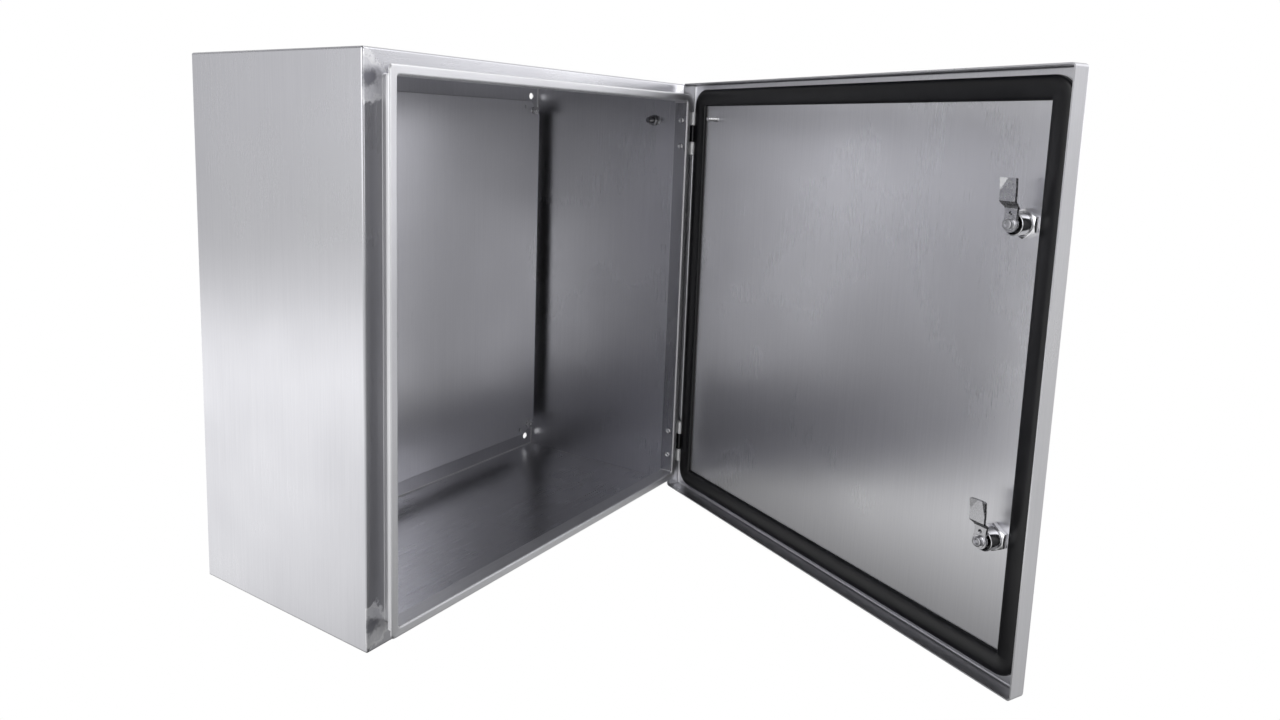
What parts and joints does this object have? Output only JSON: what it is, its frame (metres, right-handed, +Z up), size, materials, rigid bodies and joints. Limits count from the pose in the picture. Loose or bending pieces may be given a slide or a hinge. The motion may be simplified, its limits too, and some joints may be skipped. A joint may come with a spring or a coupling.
{
  "type": "wall mounted switchboard cabinet",
  "caption": "Stainless sheet wall cabinet for switchgear, with a hinged door, seal, quarter-turn locks, mounting plate and earth points.",
  "frame": {"origin": "centre of the wall fixing holes, on the outside face of the back panel", "axes": "+X to the right seen from the front, towards the hinges; -Y out of the front opening, +Y into the wall; +Z up"},
  "size_m": [0.6014, 0.824, 0.6],
  "materials": {
    "body_sheet": "brushed satin",
    "back_sheet": "brushed satin",
    "rim_sheet": "brushed satin",
    "door_sheet": "brushed satin",
    "plate_sheet": "brushed satin",
    "seal": "soft satin black",
    "hinge_steel": "polished",
    "hinge_black": "gloss black",
    "fixing_steel": "plain zinc",
    "lock_chrome": "polished",
    "cam_steel": "zinc plated satin",
    "earth_steel": "dull"
  },
  "bodies": {
    "cabinet": {"body_shell": "body_sheet", "back_panel": "back_sheet", "front_rim": "rim_sheet", "mounting_plate": "plate_sheet", "plate_studs": "fixing_steel", "plate_washers": "fixing_steel", "plate_nuts": "fixing_steel", "body_earth_stud": "earth_steel", "body_earth_washer": "earth_steel", "body_earth_nut": "earth_steel", "upper_hinge_bracket": "hinge_black", "lower_hinge_bracket": "hinge_black", "upper_hinge_screws": "fixing_steel", "lower_hinge_screws": "fixing_steel"},
    "door": {"door_panel": "door_sheet", "door_seal": "seal", "door_earth_stud": "fixing_steel", "upper_hinge_leaf": "hinge_steel", "lower_hinge_leaf": "hinge_steel", "upper_hinge_pin": "hinge_steel", "lower_hinge_pin": "hinge_steel", "upper_lock_housing": "lock_chrome", "upper_lock_ring": "seal", "upper_lock_nut": "lock_chrome", "lower_lock_housing": "lock_chrome", "lower_lock_ring": "seal", "lower_lock_nut": "lock_chrome"},
    "upper_lock_turn_body": {"upper_lock_core": "lock_chrome", "upper_lock_cam": "cam_steel", "upper_lock_washer": "lock_chrome", "upper_lock_screw": "lock_chrome"},
    "lower_lock_turn_body": {"lower_lock_core": "lock_chrome", "lower_lock_cam": "cam_steel", "lower_lock_washer": "lock_chrome", "lower_lock_screw": "lock_chrome"}
  },
  "joints": [
    {"name": "door_hinge", "type": "hinge", "parent": "cabinet", "child": "door", "pos_m": [0.292, -0.292, 0], "axis": [0, 0, 1], "range_deg": [-63.5, 26.5]},
    {"name": "upper_lock_turn", "type": "hinge", "parent": "door", "child": "upper_lock_turn_body", "pos_m": [0.03473, -0.77327, 0.155], "axis": [0.8949, -0.4462, 0], "range_deg": [0, 90]},
    {"name": "lower_lock_turn", "type": "hinge", "parent": "door", "child": "lower_lock_turn_body", "pos_m": [0.03473, -0.77327, -0.155], "axis": [0.8949, -0.4462, 0], "range_deg": [0, 90]}
  ]
}
